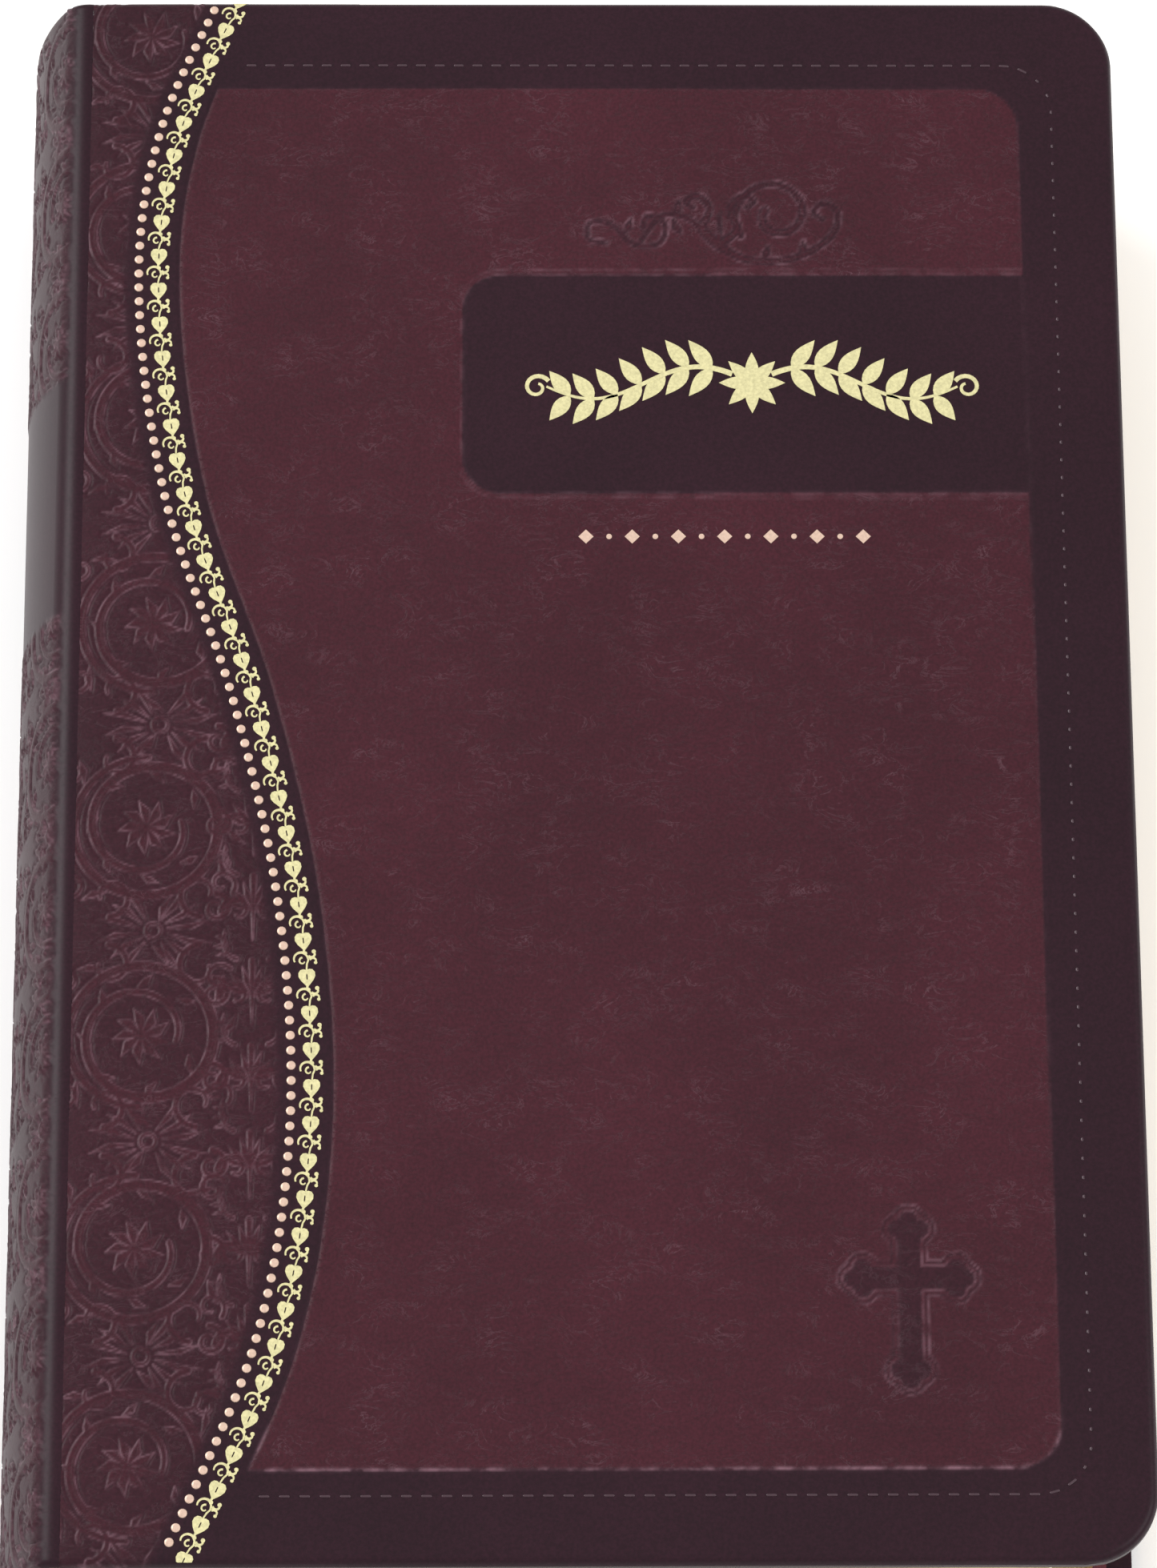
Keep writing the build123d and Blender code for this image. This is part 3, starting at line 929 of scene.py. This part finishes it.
def pattern_piece(name, copies, base_z):
    """One mesh from many placed shapes: copies holds (points, faces, x, y, turn).

    Each shape lies a hair above the last, as foil laps over foil, so no two faces coincide. What
    would pass the cover's head or tail is cut off there.
    """
    points, faces, offset = [], [], 0
    for number, (shape, shape_faces, x, y, turn) in enumerate(copies):
        lap = LAP * (number % 10)
        c, s = math.cos(turn), math.sin(turn)
        placed = np.column_stack([
            x + c * shape[:, 0] - s * shape[:, 1],
            y + s * shape[:, 0] + c * shape[:, 1],
            base_z / mm + lap + shape[:, 2],
        ])
        if np.abs(placed[:, 1]).min() > half_height - FOIL_EDGE:
            continue
        placed[:, 1] = np.clip(placed[:, 1], FOIL_EDGE - half_height, half_height - FOIL_EDGE)
        points.append(placed * mm)
        faces += [tuple(offset + v for v in f) for f in shape_faces]
        offset += len(shape)
    data = bpy.data.meshes.new(name)
    data.from_pydata(np.vstack(points).tolist(), [], faces)
    data.update()
    piece = bpy.data.objects.new(name, data)
    bpy.context.scene.collection.objects.link(piece)
    return piece


def even_marks(path, pitch):
    """Evenly spaced places along a path, each with its heading."""
    path = np.array(path)
    reach = path_run(path)

    def point_at(s):
        return np.interp(s, reach, path[:, 0]), np.interp(s, reach, path[:, 1])

    for s in np.arange(pitch / 2, reach[-1], pitch):
        x, y = point_at(s)
        x2, y2 = point_at(s + LOOK_AHEAD)
        if s + LOOK_AHEAD > reach[-1]:
            x_before, y_before = point_at(s - LOOK_AHEAD)
            x2, y2 = 2 * x - x_before, 2 * y - y_before
        yield x, y, math.atan2(y2 - y, x2 - x)


STITCH_TOP = 94.0
STITCH_SIDE = 61.9
STITCH_BOTTOM = -94.8
STITCH_CORNER = 6.5
stitch_x = STITCH_SIDE - STITCH_CORNER
stitch_path = [(-42.0, STITCH_TOP)]
for centre_y, turn_start in ((STITCH_TOP - STITCH_CORNER, 90), (STITCH_BOTTOM + STITCH_CORNER, 0)):
    corner = arc(stitch_x, centre_y, STITCH_CORNER, STITCH_CORNER, turn_start, turn_start - 90, 12)
    stitch_path += corner.tolist()
stitch_path += [(-37.0, STITCH_BOTTOM)]
dash = capsule(STITCH_LENGTH, STITCH_WIDTH, STITCH_HEIGHT)
short_dash = capsule(SHORT_STITCH, STITCH_WIDTH, STITCH_HEIGHT)
stitch_copies = []
for x, y, heading in even_marks(stitch_path, STITCH_PITCH):
    stitch_copies.append((*(dash if abs(math.cos(heading)) > 0.7 else short_dash), x, y, heading))
stitches = pattern_piece("pressed_stitches", stitch_copies, top - STITCH_SINK * mm)


def make_sheen(name, hex_value, metallic, roughness, grain_mm, low, high):
    """A pressed or stamped finish, mottled by the leather's grain beneath it."""
    material, tree, shader = new_material(name)
    grain = noise(tree, object_place(tree), grain_mm, 4.0)
    tint = colour(hex_value)[:3]
    dark = [c * low for c in tint] + [1]
    light = [min(c * high, 1) for c in tint] + [1]
    feed(tree, shader, {
        "Base Color": ramp(tree, grain, 0.3, dark, 0.7, light),
        "Normal": bump(tree, grain, 0.3, 0.04),
        "Metallic": metallic,
        "Roughness": roughness,
    })
    return material


stitches.data.materials.append(make_sheen("pressed_stitch_leather", "#37202a", 0.0, 0.35, 0.4, 0.9, 1.15))
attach(stitches, "front_cover")

# ---- foil border: heart leaves, buds and scrolls stamped in pale gold ----
# Metallised film released by the hot die; it lies in the leather and takes a little of its grain.
LEAF_PITCH = 4.72
FOIL = 0.06
FOIL_SINK = 0.02


def flat_shape(outline):
    """A foil shape from its outline: a thin closed slab."""
    outline = np.array(outline, float)
    n = len(outline)
    lower = np.column_stack([outline, np.zeros(n)])
    upper = np.column_stack([outline, np.full(n, FOIL)])
    faces = [tuple(range(n))[::-1], tuple(range(n, 2 * n))] + between_rings(n, 0)
    return np.vstack([lower, upper]), faces


def flat_ribbon(points, start, end):
    """A foil line that tapers between two widths."""
    p = np.array(points, float)
    half = (np.linspace(start, end, len(p)) / 2)[:, None]
    aside = half * right_of(p)
    return flat_shape(np.vstack([p + aside, (p - aside)[::-1]]))


def heart_half(side):
    """One half of the heart leaf beside its vein, point down."""
    edge = [
        (0.0, 0.86),
        (0.32, 0.97),
        (0.66, 0.9),
        (0.9, 0.58),
        (0.92, 0.12),
        (0.68, -0.36),
        (0.32, -0.8),
        (0.0, -1.16),
    ]
    vein = [(0.0, -0.34), (0.07, -0.2), (0.07, 0.3), (0.0, 0.44)]
    outline = [(side * 1.12 * x, 1.1 * y) for x, y in edge + vein]
    return outline if side < 0 else outline[::-1]


leaf_motif = [
    flat_shape(heart_half(1)),
    flat_shape(heart_half(-1)),
    flat_ribbon(
        [(0.0, -0.95), (-0.08, -1.35), (0.0, -1.7), (0.25, -2.0), (0.35, -2.5), (0.12, -3.0), (0.0, -3.75)],
        0.3,
        0.2,
    ),
    flat_ribbon(arc(-0.62, -2.35, 0.95, 0.75, 50, 200, 12), 0.34, 0.2),
    flat_ribbon(arc(-0.35, -2.6, 0.5, 0.22, 90, 340, 10), 0.26, 0.16),
    flat_ribbon(arc(0.85, -1.75, 0.52, 0.3, -150, 60, 9), 0.34, 0.22),
    flat_ribbon(arc(0.95, -2.75, 0.5, 0.25, 150, -60, 9), 0.3, 0.18),
    flat_shape(arc(1.12, -1.5, 0.27, 0.27, 0, 330, 9)),
    flat_shape(arc(1.2, -2.95, 0.22, 0.22, 0, 330, 9)),
    flat_shape(arc(0.05, -1.62, 0.26, 0.26, 0, 330, 9)),
]
leaf_copies = []
for x, y, heading in even_marks(border_path, LEAF_PITCH):
    if y > half_height + 1.0 or y < -half_height - 1.0:
        continue
    for shape, faces in leaf_motif:
        leaf_copies.append((shape, faces, x, y, heading + math.pi / 2))
gold_border = pattern_piece("gold_leaf_foil", leaf_copies, top - (ground_depth + FOIL_SINK) * mm)
gold_foil = make_sheen("pale_gold_stamping_foil", "#d5ce9d", 0.55, 0.42, 0.35, 0.82, 1.12)
gold_border.data.materials.append(gold_foil)
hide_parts("gold_leaf_border")
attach(gold_border, "front_cover")

# ---- rose-gold dots: a string of round foil beads beside the leaves ----
# Rose-gold stamping film. The die leaves each bead as a small dome in the bare strip between the
# gold leaves and the scrolls.
DOT_PITCH = 1.93
DOT_SIDE = 2.5
DOT_RADIUS = 0.58
DOT_HEIGHT = 0.14
DOT_MARGIN = 1.2


def dome(radius, height, sides=14):
    """A low dome."""
    points = []
    for shrink, level in ((1.0, 0.0), (0.92, 0.6), (0.6, 0.93)):
        for n in range(sides):
            a = 2 * math.pi * n / sides
            points.append((radius * shrink * math.cos(a), radius * shrink * math.sin(a), level * height))
    points.append((0, 0, height))
    faces = [tuple(range(sides))[::-1]] + between_rings(sides, 0) + between_rings(sides, sides)
    faces += [(2 * sides + n, 2 * sides + (n + 1) % sides, 3 * sides) for n in range(sides)]
    return np.array(points), faces


bead, bead_faces = dome(DOT_RADIUS, DOT_HEIGHT)
dot_path = border_path + DOT_SIDE * right_of(border_path)
dot_copies = []
for x, y, _ in even_marks(dot_path, DOT_PITCH):
    if abs(y) < half_height - DOT_MARGIN:
        dot_copies.append((bead, bead_faces, x, y, 0))
dots = pattern_piece("rose_gold_beads", dot_copies, top - (ground_depth + FOIL_SINK) * mm)
rose_foil = make_sheen("rose_gold_stamping_foil", "#d0b3a1", 0.45, 0.38, 0.35, 0.88, 1.1)
dots.data.materials.append(rose_foil)
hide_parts("rose_gold_dots")
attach(dots, "front_cover")

# ---- title panel: a plain gold sprig where a title would go ----
# The same gold film as the border: a generic ornament of paired leaves on a waving stem, with no
# lettering.
ORNAMENT_X = 23.0
ORNAMENT_Y = 49.6
SPRIG_SINK = 0.03
STEM_START = 2.5
STEM_END = 26
ornament = []


def slim_leaf(length, width):
    """A slim pointed leaf from its stalk along X."""
    upper = [(length * t, width / 2 * math.sin(math.pi * t**0.8)) for t in np.linspace(0, 1, 9)]
    lower = [(x, -y) for x, y in upper[1:-1]][::-1]
    return flat_shape(upper + lower)


def stem_wave(reach):
    """How far the waving stem lies above its line, at a reach from the middle."""
    return 2.2 * math.sin(reach / 4.3)


for side in (1, -1):
    stem = [(side * x, stem_wave(x)) for x in np.linspace(STEM_START, STEM_END, 40)]
    ornament.append((*flat_ribbon(stem, 0.75, 0.3), ORNAMENT_X, ORNAMENT_Y, 0))
    for n, reach in enumerate(np.arange(5.0, STEM_END, 3.0)):
        leaf_x, leaf_y = ORNAMENT_X + side * reach, ORNAMENT_Y + stem_wave(reach)
        for turn in (1, -1):
            lean = turn * 52 if side > 0 else 180 - turn * 52
            ornament.append((*slim_leaf(4.9 - 0.1 * n, 2.0), leaf_x, leaf_y, math.radians(lean)))
    curl = arc(side * 27.2, -0.6, 1.7, 0.5, 90 + 60 * side, 90 + 60 * side - side * 400, 24)
    ornament.append((*flat_ribbon(curl, 0.6, 0.35), ORNAMENT_X, ORNAMENT_Y, 0))
for n in range(8):
    ornament.append((*slim_leaf(4.2, 1.7), ORNAMENT_X, ORNAMENT_Y, math.pi * n / 4))
title_ornament = pattern_piece("title_sprig_foil", ornament, top - (ground_depth + SPRIG_SINK) * mm)
title_ornament.data.materials.append(gold_foil)
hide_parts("title_ornament")
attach(title_ornament, "front_cover")

# ---- rose-gold lozenges: a short row under the title panel ----
# Stamped from the same film as the beads, where a second line of title would go.
ROW_X = 19.3
ROW_Y = 28.6
ROW_COUNT = 13
ROW_PITCH = 2.9
ROW_SINK = 0.12
lozenge = flat_shape([(-0.95, 0), (0, -0.95), (0.95, 0), (0, 0.95)])
small_bead = flat_shape(arc(0, 0, 0.36, 0.36, 0, 330, 12))
row = []
for n in range(ROW_COUNT):
    mark_x = ROW_X + (n - ROW_COUNT // 2) * ROW_PITCH
    row.append((*(small_bead if n % 2 else lozenge), mark_x, ROW_Y, 0))
lozenges = pattern_piece("rose_gold_lozenges", row, top - ROW_SINK * mm)
lozenges.data.materials.append(rose_foil)
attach(lozenges, "front_cover")

# ---- studio: a pale floor, broad soft lights and the camera above the tail edge ----
# Most of the light comes evenly from the whole room, and two soft boxes give it a direction.
bpy.ops.object.select_all(action="DESELECT")
bpy.ops.mesh.primitive_plane_add(size=6)
floor = bpy.context.object
floor.name = "studio_floor"
floor_material, _, floor_shader = new_material("pale_paper_sweep")
floor_shader.inputs["Base Color"].default_value = colour("#ffffff")
floor_shader.inputs["Roughness"].default_value = 0.9
floor.data.materials.append(floor_material)

world = bpy.data.worlds.new("soft_room")
bpy.context.scene.world = world
world.use_nodes = True
world.node_tree.nodes["Background"].inputs[0].default_value = (1.0, 0.99, 0.98, 1)
world.node_tree.nodes["Background"].inputs[1].default_value = 0.95
bpy.context.scene.view_settings.view_transform = "Standard"


def soft_light(name, place, target, size, power):
    """A square soft box at a place, aimed at a target."""
    data = bpy.data.lights.new(name, "AREA")
    data.size = size
    data.energy = power
    lamp = bpy.data.objects.new(name, data)
    bpy.context.scene.collection.objects.link(lamp)
    lamp.location = place
    aim = np.array(target) - np.array(place)
    tilt = math.atan2(math.hypot(aim[0], aim[1]), -aim[2])
    lamp.rotation_euler = (tilt, 0, math.atan2(aim[1], aim[0]) - math.pi / 2)


soft_light("key_left", (-0.75, 0.35, 0.75), (0, 0, 0.03), 0.5, 7)
soft_light("fill_right", (0.8, -0.2, 0.9), (0, 0, 0.03), 0.6, 4)

camera_data = bpy.data.cameras.new("camera")
camera = bpy.data.objects.new("camera", camera_data)
bpy.context.scene.collection.objects.link(camera)
bpy.context.scene.camera = camera
camera.location = (-0.0064, -0.2968, 0.842)
camera.rotation_euler = (math.radians(20.038), math.radians(-0.975), math.radians(-0.43))
camera_data.sensor_fit = "HORIZONTAL"
camera_data.sensor_width = 36
camera_data.lens = 214.2
camera_data.shift_x = -0.0599
camera_data.shift_y = 0.004
camera_data.clip_end = 10
